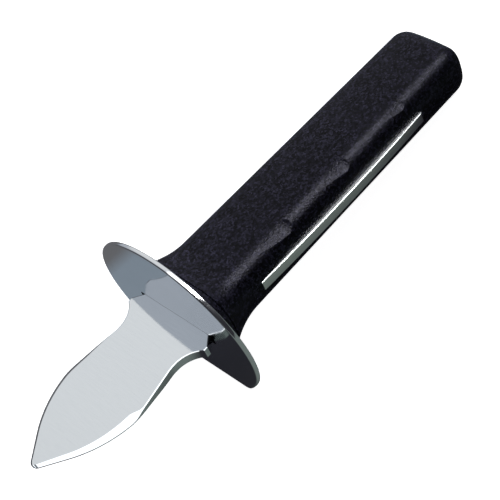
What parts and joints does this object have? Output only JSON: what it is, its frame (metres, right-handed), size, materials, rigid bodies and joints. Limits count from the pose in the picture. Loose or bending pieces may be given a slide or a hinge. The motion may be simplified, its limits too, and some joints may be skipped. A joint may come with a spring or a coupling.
{
  "type": "oyster knife",
  "caption": "Short pointed steel oyster knife with an oval hand guard and a scooped, moulded handle that leaves the tang's edges bare.",
  "frame": {"origin": "centre of the guard's front face, on the knife's axis", "axes": "+X along the knife towards the blade's tip, +Y across the blade's width, +Z through its thickness and away from the guard's flat"},
  "size_m": [0.1616, 0.056, 0.0434],
  "materials": {
    "blade_steel": "stainless steel, finely ground and polished",
    "guard_steel": "stainless steel plate, mirror polished",
    "handle_plastic": "black moulded plastic with a fine pebbled grain"
  },
  "bodies": {
    "root": {"blade": "blade_steel", "guard": "guard_steel", "handle": "handle_plastic"}
  },
  "joints": []
}
